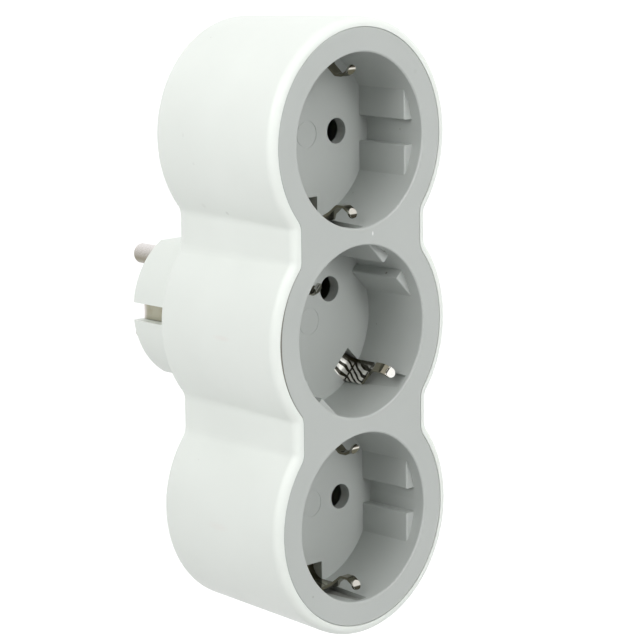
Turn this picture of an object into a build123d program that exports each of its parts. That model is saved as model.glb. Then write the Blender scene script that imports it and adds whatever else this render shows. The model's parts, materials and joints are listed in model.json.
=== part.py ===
from build123d import *
import math
import os

# A three-way mains socket adapter. Sizes are in millimetres and angles in degrees.
# It is modelled lying on its back: X across the face, Y up the face and Z out of the face, with Z = 0 at
# the end face of the plug barrel. Depths are measured back from the front face. The last step stands it up.

# Socket recesses
recess_diameter = 39.0
recess_depth = 17.5
recess_floor = 2.7
recess_wall = 2.1
recess_web = 3.9
recess_rim_round = 0.4
socket_turns = (0.0, 45.0, 0.0)
pin_spacing = 19.0
pin_hole_diameter = 5.9
centre_ring_diameter = 6.4
centre_ring_width = 0.3
centre_ring_depth = 0.1

# Guide ribs at the two ends of each pin line
rib_flat_distance = 33.8
rib_slot_width = 5.8
rib_front_depth = 3.1
rib_edge_round = 0.35

# Earth windows in the recess floor, and the tapering grooves in the wall behind the clips
window_width = 6.4
window_inset = 5.1
groove_front_width = 3.3
groove_front_depth = 1.2
groove_cut = 1.0

# Front cover
cover_rim = 5.55
cover_plate = 2.2
cover_seam = 0.06
cover_edge_round = 0.3
bar_post_length = 6.8
bar_post_width = 4.0
bar_post_wall = 1.2
bar_post_setback = 0.6

# White casing around the cover
casing_lip = 2.19
casing_ledge = 0.75
casing_back_wall = 2.2
casing_draft = 2.4
casing_front_round = 1.8
casing_back_round = 1.4
waist_inset = 6.45
waist_blend = 1.8

# Plug barrel
barrel_diameter = 36.9
barrel_length = 17.9
barrel_wall = 2.2
barrel_end_wall = 3.0
barrel_edge_round = 0.4
earth_groove_width = 4.2
earth_groove_depth = 2.45
earth_backing = 1.6

# Plug pins
pin_diameter = 4.8
pin_length = 19.0
pin_tip_round = 1.2
pin_root_diameter = 5.2
collar_diameter = 7.2
collar_thickness = 1.5
spigot_diameter = 3.0

# Line and neutral bars
bar_thickness = 1.0
bar_width = 4.6
contact_length = 8.5
contact_wall = 0.8
contact_slit = 1.4
contact_root = 1.5
contact_end_gap = 2.1
well_wall = 1.4
leg_width = 5.0
leg_offset = 4.5
leg_bend = 1.6
foot_overhang = 3.0

# Earth clips, link and plug contact, all of one strip thickness
strip_thickness = 0.6
clip_width = 6.0
clip_tip_width = 2.3
clip_setback = 1.15
clip_contact_setback = 4.85
clip_knee_setback = 3.9
clip_knee_depth = 3.2
clip_tip_setback = 3.5
clip_tip_depth = 3.02
clip_contact_depths = (4.8, 6.9)
clip_neck_depth = 9.2
clip_shoulder_depth = 11.6
clip_bend = 1.2
clip_base_bend = 3.4
clip_offset = 0.5
link_width = 4.0
link_overhang = 4.0
plug_strip_width = 3.9
plug_strip_bend = 1.4
plug_strip_end_gap = 0.5
plug_hook = 1.0
plug_hook_bend = 0.9
earth_post_diameter = 4.4
earth_post_offset = 9.0

# Rivets
rivet_diameter = 2.4
rivet_head_diameter = 4.0
rivet_head_height = 0.6

# Housing screws
screw_diameter = 2.9
screw_length = 16.0
screw_head_diameter = 5.2
screw_head_height = 1.9
screw_drive_width = 0.8
screw_drive_span = 3.2
screw_drive_depth = 1.0
boss_diameter = 5.6
boss_length = 21.8
boss_gap = 0.1
counterbore_depth = 9.3
counterbore_wall = 1.1
counterbore_seat = 1.5

# Clearances
slide_gap = 0.05
hole_gap = 0.1
well_gap = 0.3
bar_gap = 0.4
collar_gap = 0.5
pilot_end_gap = 1.0
match_gap = 0.0001

# Places worked out from the sizes above
rows = (-1, 0, 1)
recess_radius = recess_diameter / 2
socket_pitch = recess_diameter + recess_web
pin_radius = pin_diameter / 2
pin_root_radius = pin_root_diameter / 2
pin_offset = pin_spacing / 2
contact_inner = pin_radius + hole_gap
contact_outer = contact_inner + contact_wall
well_inner = contact_outer + well_gap
well_outer = well_inner + well_wall

floor_back_depth = recess_depth + recess_floor
bar_depth = floor_back_depth + bar_post_length
casing_depth = bar_depth + contact_length + contact_end_gap + casing_back_wall
front = casing_depth + barrel_length
floor_top = front - recess_depth
floor_back = front - floor_back_depth
bar_front = front - bar_depth
bar_back = bar_front - bar_thickness
casing_back = barrel_length
cavity_back = casing_back + casing_back_wall

cover_radius = recess_radius + cover_rim
casing_radius = cover_radius + cover_seam + casing_lip
casing_waist = casing_radius - waist_inset
cavity_inset = casing_lip + casing_ledge

barrel_radius = barrel_diameter / 2
bore_radius = barrel_radius - barrel_wall
bore_flat = pin_offset + collar_diameter / 2 + collar_gap
barrel_flat = bore_flat + barrel_wall
strip_outer = barrel_radius - earth_groove_depth
strip_inner = strip_outer - strip_thickness

clip_back = floor_back - strip_thickness
link_back = clip_back - strip_thickness
plug_strip_back = link_back - strip_thickness

draft_run = casing_depth * math.tan(math.radians(casing_draft))
screw_x = casing_waist - cavity_inset - draft_run - boss_gap - boss_diameter / 2
screw_places = [(sx * screw_x, sy * socket_pitch / 2) for sx in (-1, 1) for sy in (-1, 1)]
boss_end = front - cover_plate - boss_length
screw_seat = casing_back + counterbore_depth
counterbore_radius = screw_head_diameter / 2 + well_gap
foot_front = barrel_end_wall + collar_thickness + bar_thickness


def slab(sketch, bottom, top):
    """Solid of a sketch in X and Y between two heights."""
    return extrude(Pos(0, 0, bottom) * sketch, amount=top - bottom)


def rod(radius, bottom, top, x=0.0, y=0.0):
    """Round bar along Z."""
    return slab(Pos(x, y) * Circle(radius), bottom, top)


def block(x_span, y_span, z_span):
    """Box between pairs of limits."""
    low_x, high_x = x_span
    low_y, high_y = y_span
    outline = Pos((low_x + high_x) / 2, (low_y + high_y) / 2) * Rectangle(high_x - low_x, high_y - low_y)
    return slab(outline, *z_span)


def socket_place(row, turn):
    """Where one socket's own frame, with its pins along X and its earth clips along Y, goes on the face."""
    return Pos(0, row * socket_pitch) * Rot(0, 0, turn)


def lobed_outline(inset):
    """Three round lobes joined by straight waists, set in from the casing's outer edge at the front."""
    waist = casing_waist - inset
    body = Rectangle(2 * waist, 2 * socket_pitch)
    for row in rows:
        body += Pos(0, row * socket_pitch) * Circle(casing_radius - inset)
    corners = body.vertices().filter_by(lambda v: abs(abs(v.X) - waist) < match_gap)
    return fillet(corners, waist_blend + inset)


def flatted_circle(radius, flat):
    """Circle with a flat across its top and bottom, at one distance from the middle."""
    return Circle(radius) & Rectangle(2 * radius, 2 * flat)


def drafted(outline, depth):
    """Solid that narrows with the mould's draft from the front face back."""
    prism = slab(outline, front - depth, front)
    sides = prism.faces().filter_by(Axis.Z, reverse=True)
    return draft(sides, Plane.XY.offset(front), -casing_draft)


def edges_at(solid, height):
    """Edges that lie flat at one height."""
    return solid.edges().filter_by_position(Axis.Z, height - match_gap, height + match_gap)


def strip(points, bend, width, thickness, across):
    """Bent metal strip whose middle line goes through the points, with its width along one axis."""
    path = FilletPolyline(*points, radius=bend)
    section = Plane(origin=path @ 0, x_dir=across, z_dir=path % 0) * Rectangle(width, thickness)
    return sweep(section, path=path)


def make_rear_housing():
    """White casing, open at the front, in one piece with the plug barrel."""
    shell = drafted(lobed_outline(0), casing_depth)
    shell = fillet(edges_at(shell, front), casing_front_round)
    shell = fillet(edges_at(shell, casing_back), casing_back_round)
    barrel = slab(flatted_circle(barrel_radius, barrel_flat), 0, cavity_back)
    barrel = fillet(edges_at(barrel, 0), barrel_edge_round)
    shell += barrel
    shell -= drafted(lobed_outline(cavity_inset), casing_depth - casing_back_wall)
    shell -= slab(lobed_outline(casing_lip), front - cover_plate, front)
    shell -= slab(flatted_circle(bore_radius, bore_flat), barrel_end_wall, cavity_back)
    for side in (-1, 1):
        shell += make_earth_backing(side)
    for side in (-1, 1):
        shell -= make_earth_groove(side)
        shell -= rod(pin_root_radius + slide_gap, 0, barrel_end_wall, y=side * pin_offset)
        post_y = side * (socket_pitch - earth_post_offset)
        shell += rod(earth_post_diameter / 2, cavity_back, link_back, y=post_y)
    for x, y in screw_places:
        shell += rod(boss_diameter / 2, cavity_back, boss_end, x, y)
        shell += rod(counterbore_radius + counterbore_wall, cavity_back, screw_seat + counterbore_seat, x, y)
    for x, y in screw_places:
        shell -= rod(counterbore_radius, casing_back, screw_seat, x, y)
        shell -= rod(screw_diameter / 2 + hole_gap, screw_seat, boss_end, x, y)
    for row in (-1, 1):
        for side in (-1, 1):
            well = Circle(well_outer) - Circle(well_inner)
            shell += slab(Pos(side * pin_offset, row * socket_pitch) * well, cavity_back, bar_back)
    return shell


def make_earth_backing(side):
    """Wall inside the barrel that closes the earth groove."""
    half_width = earth_groove_width / 2 + earth_backing
    span = sorted((side * (strip_inner - earth_backing), side * (bore_radius + barrel_wall / 2)))
    return block(span, (-half_width, half_width), (barrel_end_wall, cavity_back))


def make_earth_groove(side):
    """Groove along the barrel, the slot that leads into it and the notch for the strip's hook."""
    half_width = earth_groove_width / 2
    across = (-half_width, half_width)
    outside = side * (barrel_radius + barrel_wall)
    groove = block(sorted((side * strip_inner, outside)), across, (0, casing_back))
    slot_span = sorted((side * strip_inner, side * (strip_outer + hole_gap)))
    groove += block(slot_span, across, (0, cavity_back))
    hook_inner = strip_inner - plug_hook - hole_gap
    hook_top = plug_strip_end_gap + strip_thickness / 2 + plug_hook_bend + hole_gap
    groove += block(sorted((side * hook_inner, outside)), across, (0, hook_top))
    return groove


def make_front_cover():
    """Grey face with three socket recesses, moulded in one piece with its bar posts and screw bosses."""
    cover = slab(lobed_outline(casing_lip + cover_seam), front - cover_plate, front)
    cover = fillet(edges_at(cover, front), cover_edge_round)
    places = [socket_place(row, turn) for row, turn in zip(rows, socket_turns)]
    for place in places:
        cover += place * rod(recess_radius + recess_wall, floor_back, front - cover_plate / 2)
    for place in places:
        cover -= place * rod(recess_radius, floor_top, front)
    rims = edges_at(cover, front).filter_by(GeomType.CIRCLE)
    rims = rims.filter_by(lambda e: abs(e.radius - recess_radius) < match_gap)
    cover = fillet(rims, recess_rim_round)
    ribs_and_posts = make_socket_additions()
    cuts = make_socket_cuts()
    for place in places:
        cover += [place * solid for solid in ribs_and_posts]
    for place in places:
        cover -= [place * solid for solid in cuts]
    for x, y in screw_places:
        cover += rod(boss_diameter / 2, boss_end, front - cover_plate, x, y)
    pilot_end = screw_seat + screw_length + pilot_end_gap
    for x, y in screw_places:
        cover -= rod(screw_diameter / 2 + slide_gap, boss_end, pilot_end, x, y)
    return cover


def make_socket_additions():
    """Guide ribs in one recess and, behind its floor, a post at each pin hole to hold a contact bar back."""
    rib_top = front - rib_front_depth
    flat = rib_flat_distance / 2
    reach = recess_radius + recess_wall / 2
    segment = Circle(reach) & (Pos(flat + reach / 2, 0) * Rectangle(reach, 2 * reach))
    slot = Rectangle(2 * (reach + recess_wall), rib_slot_width)
    rib_pair = slab(segment - slot, floor_top, rib_top)
    inner_edges = rib_pair.edges().filter_by_position(Axis.X, flat - match_gap, flat + match_gap)
    slot_edges = inner_edges.filter_by(Axis.Z).filter_by(lambda e: abs(e.center().Y) < rib_slot_width)
    rib_pair = fillet(slot_edges + edges_at(rib_pair, rib_top).filter_by(Axis.Y), rib_edge_round)
    post_inner = pin_hole_diameter / 2 + bar_post_setback
    post_outer = post_inner + bar_post_wall
    post_span = Pos(0, post_outer / 2) * Rectangle(bar_post_width, post_outer)
    post = (Circle(post_outer) - Circle(post_inner)) & post_span
    additions = []
    for angle in (0, 180):
        turn = Rot(0, 0, angle)
        additions.append(turn * rib_pair)
        additions.append(turn * slab(Pos(pin_offset, 0) * post, bar_front, floor_back))
    return additions


def make_socket_cuts():
    """Pin holes, earth windows, clip grooves, centre ring and rivet pocket of one socket."""
    ring = Circle(centre_ring_diameter / 2) - Circle(centre_ring_diameter / 2 - centre_ring_width)
    cuts = [slab(ring, floor_top - centre_ring_depth, floor_top)]
    pocket_top = floor_back + rivet_head_height + hole_gap
    cuts.append(rod(rivet_head_diameter / 2 + hole_gap, floor_back, pocket_top))
    window_inner = recess_radius - window_inset
    groove_outer = recess_radius + groove_cut
    half_window = window_width / 2
    half_front = groove_front_width / 2
    groove_front = front - groove_front_depth
    groove_corners = [(-half_window, floor_back), (half_window, floor_back), (half_window, floor_top),
                      (half_front, groove_front), (-half_front, groove_front), (-half_window, floor_top)]
    groove_face = Plane.XZ * make_face(Polyline(*groove_corners, close=True))
    groove = extrude(Pos(0, groove_outer, 0) * groove_face, amount=groove_cut + window_inset / 2)
    window = block((-half_window, half_window), (window_inner, groove_outer), (floor_back, floor_top))
    for angle in (0, 180):
        turn = Rot(0, 0, angle)
        cuts.append(turn * rod(pin_hole_diameter / 2, floor_back, floor_top, x=pin_offset))
        cuts.append(turn * window)
        cuts.append(turn * groove)
    return cuts


def make_earth_clip():
    """Both earth springs of one socket, bent from one strip that passes behind the recess floor."""
    root = recess_radius - clip_setback
    contact = recess_radius - clip_contact_setback
    knee = recess_radius - clip_knee_setback
    tip = recess_radius - clip_tip_setback
    contact_front, contact_rear = clip_contact_depths
    base = floor_back - strip_thickness / 2
    arm = [(tip, front - clip_tip_depth), (knee, front - clip_knee_depth), (contact, front - contact_front),
           (contact, front - contact_rear), (root, front - clip_shoulder_depth), (root, base)]
    points = [(0, y, z) for y, z in arm] + [(0, -y, z) for y, z in reversed(arm)]
    arm_bends = [clip_bend] * (len(arm) - 2) + [clip_base_bend]
    spring = strip(points, arm_bends + arm_bends[::-1], clip_width, strip_thickness, across=(1, 0, 0))
    half_wide = clip_width / 2
    half_tip = clip_tip_width / 2
    neck_z = front - clip_neck_depth
    wide_z = front - clip_shoulder_depth
    outline = [(half_tip, front), (half_tip, neck_z), (half_wide, wide_z), (half_wide, clip_back)]
    mirrored = [(-x, z) for x, z in reversed(outline)]
    profile = Plane.XZ * make_face(Polyline(*outline, *mirrored, close=True))
    spring &= extrude(profile, amount=recess_radius, both=True)
    tip_slope = math.atan2(clip_knee_depth - clip_tip_depth, tip - knee)
    tip_place = Pos(0, tip, front - clip_tip_depth) * Rot(math.degrees(tip_slope), 0, 0)
    tip_disc = tip_place * rod(half_tip, -strip_thickness / 2, strip_thickness / 2)
    spring += [tip_disc, Rot(0, 0, 180) * tip_disc]
    return Pos(0, -clip_offset) * spring - rivet_hole()


def rivet_hole():
    """Hole for a rivet through a strip at a socket's centre."""
    return rod(rivet_diameter / 2 + slide_gap, plug_strip_back, floor_back)


def make_earth_link():
    """Flat strip behind the earth clips, from the lower socket to the upper one."""
    length = 2 * (socket_pitch + link_overhang)
    link = slab(Rectangle(link_width, length), link_back, clip_back)
    for row in rows:
        link -= Pos(0, row * socket_pitch) * rivet_hole()
    return link


def make_plug_earth_contact():
    """Strip bent across the link and back along both sides of the barrel, hooked over at its ends."""
    leg = (strip_inner + strip_outer) / 2
    base = plug_strip_back + strip_thickness / 2
    end = plug_strip_end_gap + strip_thickness / 2
    half = [(strip_inner - plug_hook, end), (leg, end), (leg, base)]
    points = [(x, 0, z) for x, z in half] + [(-x, 0, z) for x, z in reversed(half)]
    bends = [plug_hook_bend, plug_strip_bend, plug_strip_bend, plug_hook_bend]
    return strip(points, bends, plug_strip_width, strip_thickness, across=(0, 1, 0)) - rivet_hole()


def make_rivet(back):
    """Rivet through the strips at a socket's centre, with a flat head at each end."""
    half_head = rivet_head_diameter / 2
    rivet = rod(rivet_diameter / 2, back, floor_back)
    rivet += rod(half_head, floor_back, floor_back + rivet_head_height)
    return rivet + rod(half_head, back - rivet_head_height, back)


def make_contact_bar():
    """Line bar: three pin contacts on a strip at the left, with a leg to the lower plug pin."""
    spine_x = -(screw_x - boss_diameter / 2 - bar_gap - bar_width / 2)
    lug_y = -pin_offset
    blank = Pos(spine_x, 0) * Rectangle(bar_width, 2 * socket_pitch)
    blank += Pos(spine_x / 2, lug_y) * Rectangle(-spine_x, leg_width)
    contacts = [socket_place(row, turn) * Pos(-pin_offset, 0) for row, turn in zip(rows, socket_turns)]
    for place in contacts:
        blank += place * Circle(well_outer)
    bar = slab(blank, bar_back, bar_front)
    leg_y = lug_y + leg_offset
    bar_z = (bar_back + bar_front) / 2
    foot_z = foot_front - bar_thickness / 2
    leg = [(0, lug_y, bar_z), (0, leg_y, bar_z), (0, leg_y, foot_z), (0, lug_y - foot_overhang, foot_z)]
    bar += strip(leg, leg_bend, leg_width, bar_thickness, across=(1, 0, 0))
    for place in contacts:
        bar += place * rod(contact_outer, bar_front - contact_length, bar_back)
    for place in contacts:
        bar -= place * make_contact_bore()
    return bar - rod(spigot_diameter / 2 + slide_gap, 0, foot_front, y=lug_y)


def make_contact_bore():
    """Hole through a pin contact and the slits that make springs of its wall."""
    end = bar_front - contact_length
    half_slit = contact_slit / 2
    bore = rod(contact_inner, end, bar_front)
    slit_top = bar_back - contact_root
    bore += block((-half_slit, half_slit), (-contact_outer, contact_outer), (end, slit_top))
    return bore + block((-contact_outer, contact_outer), (-half_slit, half_slit), (end, slit_top))


def make_plug_pin(side):
    """Turned plug pin with a root in the end wall, a collar and a spigot riveted over the bar's foot."""
    pin = rod(pin_radius, -pin_length, 0)
    pin = fillet(edges_at(pin, -pin_length), pin_tip_round)
    pin += rod(pin_root_radius, 0, barrel_end_wall)
    pin += rod(collar_diameter / 2, barrel_end_wall, barrel_end_wall + collar_thickness)
    pin += rod(spigot_diameter / 2, barrel_end_wall, foot_front)
    pin += rod(rivet_head_diameter / 2, foot_front, foot_front + rivet_head_height)
    return Pos(0, side * pin_offset) * pin


def make_screw(x, y):
    """Self-tapping screw from the back, with a cross in its head."""
    screw = rod(screw_diameter / 2, screw_seat, screw_seat + screw_length)
    head_end = screw_seat - screw_head_height
    screw += rod(screw_head_diameter / 2, head_end, screw_seat)
    cross = Rectangle(screw_drive_width, screw_drive_span) + Rectangle(screw_drive_span, screw_drive_width)
    return Pos(x, y) * (screw - slab(cross, head_end, head_end + screw_drive_depth))


line_bar = make_contact_bar()
earth_clip = make_earth_clip()
outer_rivets = [Pos(0, row * socket_pitch) * make_rivet(link_back) for row in (-1, 1)]
lower_place, middle_place, upper_place = [socket_place(row, turn) for row, turn in zip(rows, socket_turns)]

pieces = {
    "rear_housing": make_rear_housing(),
    "front_cover": make_front_cover(),
    "line_bar": line_bar,
    "neutral_bar": Rot(0, 0, 180) * line_bar,
    "plug_pin_upper": make_plug_pin(1),
    "plug_pin_lower": make_plug_pin(-1),
    "earth_clip_upper": upper_place * earth_clip,
    "earth_clip_middle": middle_place * earth_clip,
    "earth_clip_lower": lower_place * earth_clip,
    "earth_link": make_earth_link(),
    "plug_earth_contact": make_plug_earth_contact(),
    "earth_rivets": Part() + outer_rivets,
    "earth_rivet_middle": make_rivet(plug_strip_back),
    "housing_screws": Part() + [make_screw(x, y) for x, y in screw_places],
}

os.makedirs("parts", exist_ok=True)
for name, shape in pieces.items():
    export_step(Plane.XZ * shape, f"parts/{name}.step")
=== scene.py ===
import json
import math

import bpy
from mathutils import Matrix, Vector


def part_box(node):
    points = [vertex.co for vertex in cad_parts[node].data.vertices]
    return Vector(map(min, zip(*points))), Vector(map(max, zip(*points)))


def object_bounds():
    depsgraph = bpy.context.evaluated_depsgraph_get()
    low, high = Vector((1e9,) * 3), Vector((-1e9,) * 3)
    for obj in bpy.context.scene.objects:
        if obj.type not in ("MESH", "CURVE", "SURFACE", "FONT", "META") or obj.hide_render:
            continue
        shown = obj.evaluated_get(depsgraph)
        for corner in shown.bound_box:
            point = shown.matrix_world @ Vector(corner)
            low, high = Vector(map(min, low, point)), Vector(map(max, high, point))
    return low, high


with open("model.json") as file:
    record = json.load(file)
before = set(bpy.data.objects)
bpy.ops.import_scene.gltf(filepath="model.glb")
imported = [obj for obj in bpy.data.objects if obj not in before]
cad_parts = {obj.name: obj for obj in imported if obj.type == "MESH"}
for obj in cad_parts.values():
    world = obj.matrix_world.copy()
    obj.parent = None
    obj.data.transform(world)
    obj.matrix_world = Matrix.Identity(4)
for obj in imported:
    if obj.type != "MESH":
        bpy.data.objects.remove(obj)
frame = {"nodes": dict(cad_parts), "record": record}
cad_low, cad_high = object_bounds()

# Lengths are in metres and angles in degrees, in the part's own frame: the socket face looks towards -Y,
# the plug points towards +Y and the row of sockets runs up Z. Colours are linear, and the scale of a pattern
# is its features per metre.
MM = 0.001
face_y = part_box("front_cover")[0].y
rising, falling = (0.0, 1.0), (1.0, 0.0)

# Camera
view_azimuth = -44.02
view_elevation = 10.83
view_roll = -0.71
view_distance = 575.4 * MM
view_target = Vector((-13.29 * MM, face_y, 4.53 * MM))
sensor_width_mm = 36.0
lens_mm = 147.35

# Studio: soft boxes far round the part, as (azimuth, elevation, strength), some broad and some narrow,
# and lamps near its upper end, as (azimuth, elevation, watts)
broad_boxes = [(-120, 5, 1.58), (60, 5, 0.65), (120, 5, 4.4), (120, 40, 0.7), (90, 75, 1.4), (180, 45, 1.5)]
narrow_boxes = [(-75, 25, 6.2), (0, 20, 10.4), (10, 5, 1.4), (40, 10, 1.3)]
broad_focus = 10
narrow_focus = 50
near_lamps = [(-80, 35, 0.68), (-20, 40, 0.15), (30, 45, 0.33)]
lamp_distance = 450 * MM
lamp_size = 250 * MM
lamp_target = Vector((0, -35 * MM, 0))
white = (1.0, 1.0, 1.0)
floor_drop = 110 * MM
floor_half_size = 6.0
floor_tone = (0.59, 0.59, 0.59)
floor_roughness = 0.9
floor_glow = 0.53

# Moulded plastic: two tones that flow into each other, patches of polish and a fine grain
casing_tones = ((0.735, 0.77, 0.73), (0.765, 0.80, 0.76))
cover_tones = ((0.425, 0.448, 0.43), (0.448, 0.471, 0.453))
casing_roughness = 0.42
cover_roughness = 0.40
flow_scale = 45
flow_range = (0.3, 0.7)
polish_scale = 160
polish_range = (0.2, 0.8)
polish_spread = (-0.05, 0.07)
grain_scale = 7000
grain_strength = 0.12
grain_depth = 0.02 * MM

# Dust: a share of the cells of a pattern hold a speck, with its radius in cells and a core, as a share of
# the radius, where it is darkest
# This tone colours real dust and also painted shade: in the seam and in two clip grooves of the cover.
dust_and_shade_tone = (0.2, 0.19, 0.16)
dust_strength = 0.45
speck_scale = 130
speck_share = 0.25
speck_radius = 0.022
speck_core = 0.4

# Painted shade along the left of the seam round the middle socket
seam_radius = 25.1 * MM
seam_shade_reach = 16.5 * MM
seam_shade_half_width = 0.26 * MM
seam_shade_end_half_width = 0.078 * MM
seam_shade_depth = 1 * MM

# Earth clips, coloured with painted reflections, highlights and shade: the colour at the tip, then each
# (depth where a change starts, depth where it ends, colour), with depths in millimetres behind the face.
# What faces down has darker steps of its own, as painted shade, and the upper range is the height of the
# normal over which the one gives way to the other.
# These tones are painted light, in order: a bright painted reflection, a painted highlight band, a painted
# reflection of the dark recess walls, and two tones of painted shade.
bright_tone = (0.95, 0.94, 0.89)
painted_glint_tone = (0.64, 0.62, 0.56)
dim_reflection_tone = (0.27, 0.25, 0.19)
shaded_tone = (0.09, 0.085, 0.055)
dark_tone = (0.05, 0.045, 0.03)
outer_clip_steps = (dark_tone, [(2.58, 2.68, painted_glint_tone), (3.1, 3.7, dim_reflection_tone)])
under_clip_steps = (dark_tone, [(2.44, 2.54, painted_glint_tone), (2.60, 2.74, shaded_tone), (3.3, 3.7, dim_reflection_tone)])
middle_clip_steps = (
    bright_tone,
    [(3.02, 3.06, dark_tone), (3.14, 3.2, painted_glint_tone), (3.3, 3.5, dim_reflection_tone), (7.5, 9.5, dark_tone)],
)
clip_upper_range = (-0.1, 0.0)
clip_roughness = 0.07
outer_clip_turn = 0
middle_clip_turn = 45

# Plates of the clips: a light and a dark tone, both painted reflections, the depths in millimetres over
# which
# they begin, and what is dark on them: painted shade at their bend and along one side, and slanting streaks
# of painted reflection
outer_plate_tones = ((0.36, 0.34, 0.25), (0.13, 0.12, 0.08))
middle_plate_tones = ((1.0, 0.99, 0.93), (0.024, 0.021, 0.009))
outer_plate_metallic = 1.0
middle_plate_metallic = 0.3
plate_depths = (11.4, 12.2)
plate_bend_depth = 17.1
bend_shade_range = (0.15, 0.4)
side_shade_range = (1.0 * MM, 2.2 * MM)
streak_pitch = 1.6 * MM
streak_slant = -0.55
streak_wander = 3.2 * MM
streak_wander_scale = 280
streak_range = (0.05, 0.35)
streak_strength = 0.3
streak_depth = 0.05 * MM

# Other metal: a tone and its tarnish, fine lines along the grain, and a pin painted darker below than on
# top, as painted shade and a painted highlight
brass_tones = ((0.78, 0.58, 0.28), (0.5, 0.34, 0.15))
rivet_tones = ((0.75, 0.57, 0.3), (0.5, 0.34, 0.15))
steel_tones = ((0.6, 0.61, 0.62), (0.45, 0.45, 0.43))
strip_tones = ((0.38, 0.37, 0.29), (0.32, 0.305, 0.23))
brass_roughness = 0.3
rivet_roughness = 0.32
steel_roughness = 0.3
strip_roughness = 0.36
tarnish_scale = 350
tarnish_range = (0.42, 0.68)
pin_shade_tone = (0.27, 0.25, 0.20)
pin_lit_tone = (0.80, 0.77, 0.75)
pin_upper_range = (-0.3, 0.9)
pin_roughness = 0.26
along_x, along_y, round_y = (0.06, 1, 1), (1, 0.06, 1), (1, 6, 1)
line_scale = 2600
line_range = (0.25, 0.75)
line_spread = (-0.05, 0.09)
line_strength = 0.1
line_depth = 0.01 * MM

# Marks of handling and of use, and marks of painted shade and reflection, as (centre in millimetres, radii
# in millimetres, colour, strength), each at its full strength in a core, as a share of its radii
mark_core = 0.2
smudge_tone = (0.74, 0.66, 0.62)
scuff_tone = (0.85, 0.86, 0.85)
# Tones for the barrel's strip: a painted reflection at its bent end and a painted shadow under the groove's
# upper ledge.
strip_end_reflection_tone = (0.84, 0.78, 0.78)
strip_shade_tone = (0.20, 0.18, 0.17)
strip_side_mm = 16.0
casing_marks = [
    ((-26.0, -27.9, 44.2), (3, 0.3, 0.7), dust_and_shade_tone, 0.12),
    ((-25.7, -30.9, 38.0), (3, 0.5, 0.5), dust_and_shade_tone, 0.10),
    ((-21.4, -29.2, 28.0), (3, 1.0, 0.8), dust_and_shade_tone, 0.08),
    ((-21.0, -36.6, 27.0), (3, 0.7, 0.6), dust_and_shade_tone, 0.20),
    ((-26.5, -39.8, 0.0), (3, 4.0, 0.9), smudge_tone, 0.22),
    ((-26.4, -37.4, -43.6), (3, 4.5, 1.3), smudge_tone, 0.16),
]
cover_marks = [
    ((3.4, -57.7, 21.8), (0.3, 0.6, 0.7), scuff_tone, 0.8),
    ((17.3, -57.7, 56.9), (0.8, 1.0, 0.8), dust_and_shade_tone, 0.10),
    ((-16.5, -57.7, -58.0), (0.35, 0.6, 0.35), dust_and_shade_tone, 0.5),
    ((10.1, -54.8, 16.7), (0.45, 0.45, 0.45), dust_and_shade_tone, 1.0),
    ((14.7, -50.7, 10.6), (0.45, 0.45, 0.45), dust_and_shade_tone, 1.0),
    ((19.3, -42.9, -2.9), (0.3, 0.3, 0.3), dust_and_shade_tone, 0.5),
    ((19.5, -50.7, 43.2), (0.3, 0.3, 0.3), dust_and_shade_tone, 0.6),
    ((13.1, -41.8, 28.4), (0.3, 0.3, 0.3), dust_and_shade_tone, 0.4),
    # Painted shade in the lower clip grooves of the upper and lower sockets.
    ((0.0, -49.0, 22.4), (3.6, 10.0, 1.0), dust_and_shade_tone, 0.55),
    ((0.0, -49.0, -63.4), (3.6, 10.0, 1.0), dust_and_shade_tone, 0.55),
]
# On each side of the barrel's strip: a painted reflection at its bent end, and a painted shadow under the
# groove's upper ledge.
strip_marks = []
for strip_x in (-strip_side_mm, strip_side_mm):
    strip_marks.append(((strip_x, -0.4, 0.0), (2.0, 2.2, 6.0), strip_end_reflection_tone, 1.0))
    strip_marks.append(((strip_x, -9.0, 2.0), (2.0, 14.0, 0.7), strip_shade_tone, 0.7))


# Shader nodes

def add(tree, kind, inputs=(), **settings):
    """New shader node, with its settings and a value or a link for each input named or numbered."""
    node = tree.nodes.new("ShaderNode" + kind)
    for name, value in settings.items():
        setattr(node, name, value)
    for name, value in dict(inputs).items():
        if isinstance(value, bpy.types.NodeSocket):
            tree.links.new(value, node.inputs[name])
        else:
            node.inputs[name].default_value = value
    return node


def calculate(tree, operation, *values, clamp=False):
    """Result of a math node."""
    return add(tree, "Math", enumerate(values), operation=operation, use_clamp=clamp).outputs[0]


def multiply(tree, first, *others):
    """Product of the values."""
    product = first
    for value in others:
        product = calculate(tree, "MULTIPLY", product, value)
    return product


def combine(tree, operation, *vectors):
    """Vector from a vector math node."""
    return add(tree, "VectorMath", enumerate(vectors), operation=operation).outputs["Vector"]


def measure(tree, operation, *vectors):
    """Number from a vector math node."""
    return add(tree, "VectorMath", enumerate(vectors), operation=operation).outputs["Value"]


def rescale(tree, value, old_range, new_range=rising, smooth=False):
    """Value mapped from one range to another, held at the ends."""
    kind = "SMOOTHSTEP" if smooth else "LINEAR"
    names = ("From Min", "From Max", "To Min", "To Max")
    limits = dict(zip(names, (*old_range, *new_range)))
    return add(tree, "MapRange", {"Value": value, **limits}, interpolation_type=kind).outputs[0]


def rgba(tone):
    return (*tone, 1.0)


def blend(tree, factor, first, second):
    """Colour that goes from the first to the second as the factor rises from 0 to 1."""
    first_input, second_input, colour_output = 6, 7, 2
    mix = add(tree, "Mix", {0: factor, first_input: first, second_input: second}, data_type="RGBA")
    return mix.outputs[colour_output]


def position(tree, stretch=(1, 1, 1)):
    """Place on the part, with each axis multiplied by its stretch."""
    return combine(tree, "MULTIPLY", add(tree, "TexCoord").outputs["Object"], stretch)


def split(tree, vector):
    """X, Y and Z of a vector."""
    return add(tree, "SeparateXYZ", {0: vector}).outputs


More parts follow.
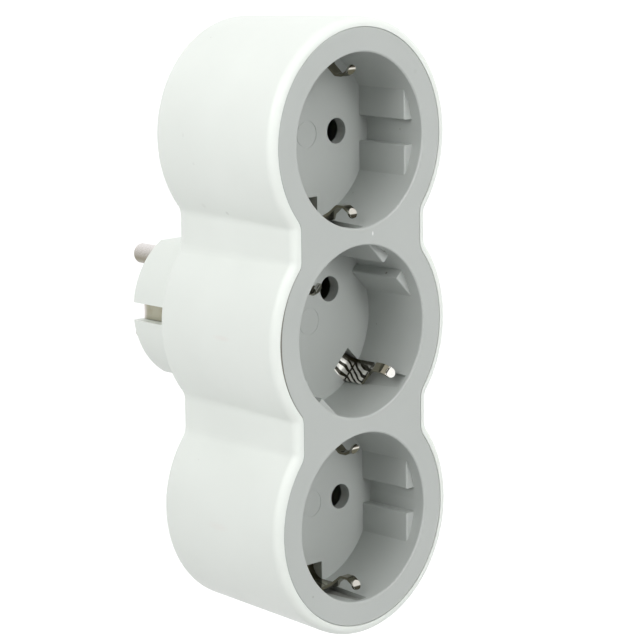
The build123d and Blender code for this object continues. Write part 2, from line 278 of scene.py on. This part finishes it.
def upper_side(tree, height_range):
    """Mask that rises from 0 to 1 as the height of the surface's normal goes through the range."""
    height = split(tree, add(tree, "TexCoord").outputs["Normal"])["Z"]
    return rescale(tree, height, height_range)


def noise(tree, scale, detail, stretch=(1, 1, 1)):
    """Soft noise from 0 to 1."""
    inputs = {"Vector": position(tree, stretch), "Scale": scale, "Detail": detail}
    return add(tree, "TexNoise", inputs).outputs[0]


def spot(tree, centre_mm, radii_mm):
    """Mask of a soft round or drawn-out spot on the surface: 1 at its middle and 0 outside."""
    stretch = [1 / (radius * MM) for radius in radii_mm]
    offset = combine(tree, "SUBTRACT", position(tree), Vector(centre_mm) * MM)
    length = measure(tree, "LENGTH", combine(tree, "MULTIPLY", offset, stretch))
    return rescale(tree, length, (mark_core, 1.0), falling, smooth=True)


def dust(tree):
    """Mask of sparse specks."""
    cells = add(tree, "TexVoronoi", {"Vector": position(tree), "Scale": speck_scale})
    near = rescale(tree, cells.outputs["Distance"], (speck_core * speck_radius, speck_radius), falling)
    pick = add(tree, "SeparateColor", {0: cells.outputs["Color"]}).outputs[0]
    return multiply(tree, near, calculate(tree, "LESS_THAN", pick, speck_share))


def seam_shade(tree):
    """Mask of a painted shade line in the seam, broadest at the level of the socket's axis."""
    across, along, up = split(tree, position(tree))
    radius = measure(tree, "LENGTH", position(tree, (1, 0, 1)))
    off_seam = calculate(tree, "ABSOLUTE", calculate(tree, "SUBTRACT", radius, seam_radius))
    level = calculate(tree, "ABSOLUTE", up)
    half_widths = (seam_shade_half_width, seam_shade_end_half_width)
    line = calculate(tree, "LESS_THAN", off_seam, rescale(tree, level, (0.0, seam_shade_reach), half_widths))
    left = calculate(tree, "LESS_THAN", across, 0.0)
    in_reach = calculate(tree, "LESS_THAN", level, seam_shade_reach)
    on_face = calculate(tree, "LESS_THAN", along, face_y + seam_shade_depth)
    return multiply(tree, line, left, in_reach, on_face)


def marked(tree, colour, marks):
    """Colour with marks laid over it: marks of handling, and marks of painted shade and painted reflection.
    """
    for centre, radii, tone, strength in marks:
        colour = blend(tree, multiply(tree, spot(tree, centre, radii), strength), colour, rgba(tone))
    return colour


def stepped(tree, depth, steps):
    """Colour that changes in steps with the depth."""
    first_tone, changes = steps
    colour = rgba(first_tone)
    for start, end, tone in changes:
        colour = blend(tree, rescale(tree, depth, (start, end), smooth=True), colour, rgba(tone))
    return colour


# Materials

def start_material(name):
    """New material with a principled shader, as (material, tree, shader)."""
    material = bpy.data.materials.new(name)
    material.use_nodes = True
    tree = material.node_tree
    return material, tree, tree.nodes["Principled BSDF"]


def vary_roughness(tree, shader, roughness, pattern, pattern_range, spread):
    """Roughness that differs with a pattern, by the two ends of the spread."""
    roughness_range = [roughness + change for change in spread]
    tree.links.new(rescale(tree, pattern, pattern_range, roughness_range), shader.inputs["Roughness"])


def give_bump(tree, shader, height, strength, depth):
    bump = add(tree, "Bump", {"Height": height, "Strength": strength, "Distance": depth})
    tree.links.new(bump.outputs[0], shader.inputs["Normal"])


def give_lines(tree, shader, roughness, grain):
    """Fine lines from drawing or turning, along the grain."""
    lines = noise(tree, line_scale, detail=3.0, stretch=grain)
    vary_roughness(tree, shader, roughness, lines, line_range, line_spread)
    give_bump(tree, shader, lines, line_strength, line_depth)


def moulded_plastic(name, tones, roughness, marks):
    """Satin moulded plastic: faint flow mottling, a fine mould grain, dust, its marks (of handling, and on
    the cover painted shade in two clip grooves) and a painted shade line along the seam.
    """
    material, tree, shader = start_material(name)
    flow = rescale(tree, noise(tree, flow_scale, detail=3.0), flow_range)
    colour = blend(tree, flow, *[rgba(tone) for tone in tones])
    colour = blend(tree, multiply(tree, dust(tree), dust_strength), colour, rgba(dust_and_shade_tone))
    colour = marked(tree, colour, marks)
    # Painted shade line along the left of the seam.
    colour = blend(tree, seam_shade(tree), colour, rgba(dust_and_shade_tone))
    tree.links.new(colour, shader.inputs["Base Color"])
    polish = noise(tree, polish_scale, detail=4.0)
    vary_roughness(tree, shader, roughness, polish, polish_range, polish_spread)
    give_bump(tree, shader, noise(tree, grain_scale, detail=3.0), grain_strength, grain_depth)
    return material


def earth_spring(name, turn, steps, plate_tones, plate_metallic):
    """Mirror-bright spring, turned about the plug's axis: painted reflections, highlights and shade by
    depth, with painted shade where it faces down, and on its plates streaks of painted reflection and
    painted shade.
    """
    material, tree, shader = start_material(name)
    place = {"Vector": add(tree, "TexCoord").outputs["Object"], "Angle": math.radians(turn)}
    aside, along, _ = split(tree, add(tree, "VectorRotate", place, rotation_type="Y_AXIS").outputs[0])
    depth = multiply(tree, calculate(tree, "SUBTRACT", along, face_y), 1 / MM)
    # Lit and shaded copies of one metal: faces turned down take the darker steps, as painted shade.
    above, below = stepped(tree, depth, steps), stepped(tree, depth, under_clip_steps)
    arm_colour = blend(tree, upper_side(tree, clip_upper_range), below, above)

    # Slanting streaks: painted reflections in the plate's colour, and pressed ribs in its bump.
    slanted = calculate(tree, "MULTIPLY_ADD", along, streak_slant, aside)
    wander = noise(tree, streak_wander_scale, detail=0.5)
    wandering = calculate(tree, "MULTIPLY_ADD", wander, streak_wander, slanted)
    wave = calculate(tree, "SINE", multiply(tree, wandering, 2 * math.pi / streak_pitch))
    streaks = rescale(tree, wave, streak_range, smooth=True)
    # Painted shade at the plate's bend and along one side of it.
    off_bend = calculate(tree, "ABSOLUTE", calculate(tree, "SUBTRACT", depth, plate_bend_depth))
    dark = calculate(tree, "MAXIMUM", streaks, rescale(tree, off_bend, bend_shade_range, falling))
    dark = calculate(tree, "MAXIMUM", dark, rescale(tree, aside, side_shade_range))
    plate_colour = blend(tree, dark, *[rgba(tone) for tone in plate_tones])

    plate = rescale(tree, depth, plate_depths, smooth=True)
    tree.links.new(blend(tree, plate, arm_colour, plate_colour), shader.inputs["Base Color"])
    shader.inputs["Metallic"].default_value = 1.0
    if plate_metallic < 1.0:
        tree.links.new(rescale(tree, plate, rising, (1.0, plate_metallic)), shader.inputs["Metallic"])
    shader.inputs["Roughness"].default_value = clip_roughness
    give_bump(tree, shader, multiply(tree, streaks, plate), streak_strength, streak_depth)
    return material


def turned_pin(name, under_tone, top_tone, roughness):
    """Turned and plated pin: fine lines round it, with painted shade towards its underside and a painted
    highlight on top.
    """
    material, tree, shader = start_material(name)
    # Painted light: lighter on top and darker underneath, by the height of the normal.
    colour = blend(tree, upper_side(tree, pin_upper_range), rgba(under_tone), rgba(top_tone))
    tree.links.new(colour, shader.inputs["Base Color"])
    shader.inputs["Metallic"].default_value = 1.0
    give_lines(tree, shader, roughness, round_y)
    return material


def plated_metal(name, tones, roughness, grain, marks=()):
    """Plain or plated metal: fine lines along its grain, tarnish in soft patches, and marks, which on the
    strip are a painted reflection and a painted shadow.
    """
    material, tree, shader = start_material(name)
    tarnish = rescale(tree, noise(tree, tarnish_scale, detail=4.0), tarnish_range, smooth=True)
    colour = marked(tree, blend(tree, tarnish, *[rgba(tone) for tone in tones]), marks)
    tree.links.new(colour, shader.inputs["Base Color"])
    shader.inputs["Metallic"].default_value = 1.0
    give_lines(tree, shader, roughness, grain)
    return material


def give_material(node, material):
    """Material for one part of the frame."""
    slots = frame["nodes"][node].data.materials
    slots.clear()
    slots.append(material)


def dress_parts():
    """A material for each slot of the record, and others for the turned clip and the barrel's strip."""
    outer_clip = (outer_clip_turn, outer_clip_steps, outer_plate_tones, outer_plate_metallic)
    middle_clip = (middle_clip_turn, middle_clip_steps, middle_plate_tones, middle_plate_metallic)
    materials = {
        "casing_plastic": moulded_plastic("casing_plastic", casing_tones, casing_roughness, casing_marks),
        "cover_plastic": moulded_plastic("cover_plastic", cover_tones, cover_roughness, cover_marks),
        "earth_nickel": earth_spring("earth_nickel", *outer_clip),
        "pin_nickel": turned_pin("pin_nickel", pin_shade_tone, pin_lit_tone, pin_roughness),
        "contact_brass": plated_metal("contact_brass", brass_tones, brass_roughness, along_y),
        "rivet_brass": plated_metal("rivet_brass", rivet_tones, rivet_roughness, along_x),
        "screw_steel": plated_metal("screw_steel", steel_tones, steel_roughness, along_x),
    }
    for part in frame["record"]["subparts"]:
        give_material(part["node"], materials[part["material_slot"]])
    give_material("earth_clip_middle", earth_spring("turned_nickel", *middle_clip))
    strip_olive = plated_metal("strip_olive", strip_tones, strip_roughness, along_y, strip_marks)
    give_material("plug_earth_contact", strip_olive)


# Studio

def direction_of(azimuth, elevation):
    """Unit vector from the part: azimuth 0 is straight out of the face, and 90 is to the right of it."""
    turn, rise = math.radians(azimuth), math.radians(elevation)
    return Vector((math.sin(turn) * math.cos(rise), -math.cos(turn) * math.cos(rise), math.sin(rise)))


def seen_directly(tree):
    """1 for rays from the camera, and for mirror and glass rays, which show the background too."""
    path = add(tree, "LightPath")
    seen = calculate(tree, "ADD", path.outputs["Is Camera Ray"], path.outputs["Is Glossy Ray"])
    return calculate(tree, "ADD", seen, path.outputs["Is Transmission Ray"], clamp=True)


def make_world():
    """Light from the soft boxes, behind a white background."""
    world = bpy.data.worlds.new("studio")
    bpy.context.scene.world = world
    world.use_nodes = True
    tree = world.node_tree
    outwards = add(tree, "TexCoord").outputs["Generated"]
    level = 0.0
    for soft_boxes, focus in ((broad_boxes, broad_focus), (narrow_boxes, narrow_focus)):
        for azimuth, elevation, strength in soft_boxes:
            facing = measure(tree, "DOT_PRODUCT", outwards, direction_of(azimuth, elevation))
            focused = calculate(tree, "POWER", calculate(tree, "MAXIMUM", facing, 0.0), focus)
            level = calculate(tree, "MULTIPLY_ADD", focused, strength, level)
    colour = blend(tree, seen_directly(tree), level, rgba(white))
    tree.links.new(colour, tree.nodes["Background"].inputs["Color"])


def make_lamps():
    """Soft square lamps near the part, which light its upper end more than its lower end."""
    for azimuth, elevation, watts in near_lamps:
        data = bpy.data.lights.new("near_lamp", "AREA")
        data.size = lamp_size
        data.energy = watts
        away = direction_of(azimuth, elevation)
        lamp = bpy.data.objects.new("near_lamp", data)
        lamp.location = lamp_target + away * lamp_distance
        lamp.rotation_euler = away.to_track_quat("Z", "Y").to_euler()
        bpy.context.scene.collection.objects.link(lamp)


def make_floor():
    """Pale floor below the hanging part, white to the eye where no shadow falls."""
    half, height = floor_half_size, cad_low.z - floor_drop
    corners = [(-half, -half, height), (half, -half, height), (half, half, height), (-half, half, height)]
    mesh = bpy.data.meshes.new("floor")
    mesh.from_pydata(corners, [], [(0, 1, 2, 3)])
    floor = bpy.data.objects.new("floor", mesh)
    bpy.context.scene.collection.objects.link(floor)
    material, tree, shader = start_material("floor_white")
    shader.inputs["Base Color"].default_value = rgba(floor_tone)
    shader.inputs["Roughness"].default_value = floor_roughness
    shader.inputs["Specular IOR Level"].default_value = 0.0
    shader.inputs["Emission Color"].default_value = rgba(white)
    glow = multiply(tree, seen_directly(tree), floor_glow)
    tree.links.new(glow, shader.inputs["Emission Strength"])
    mesh.materials.append(material)


def make_camera():
    """Camera at the photograph's viewing angle."""
    away = direction_of(view_azimuth, view_elevation)
    right = away.cross(Vector((0, 0, -1))).normalized()
    up = away.cross(right)
    roll = math.radians(view_roll)
    tilted_right = right * math.cos(roll) + up * math.sin(roll)
    tilted_up = up * math.cos(roll) - right * math.sin(roll)
    data = bpy.data.cameras.new("camera")
    data.sensor_width = sensor_width_mm
    data.lens = lens_mm
    camera = bpy.data.objects.new("camera", data)
    turn = Matrix((tilted_right, tilted_up, away)).transposed().to_4x4()
    camera.matrix_world = Matrix.Translation(view_target + away * view_distance) @ turn
    bpy.context.scene.collection.objects.link(camera)
    bpy.context.scene.camera = camera


dress_parts()
make_world()
make_lamps()
make_floor()
make_camera()
bpy.context.scene.view_settings.view_transform = "Standard"
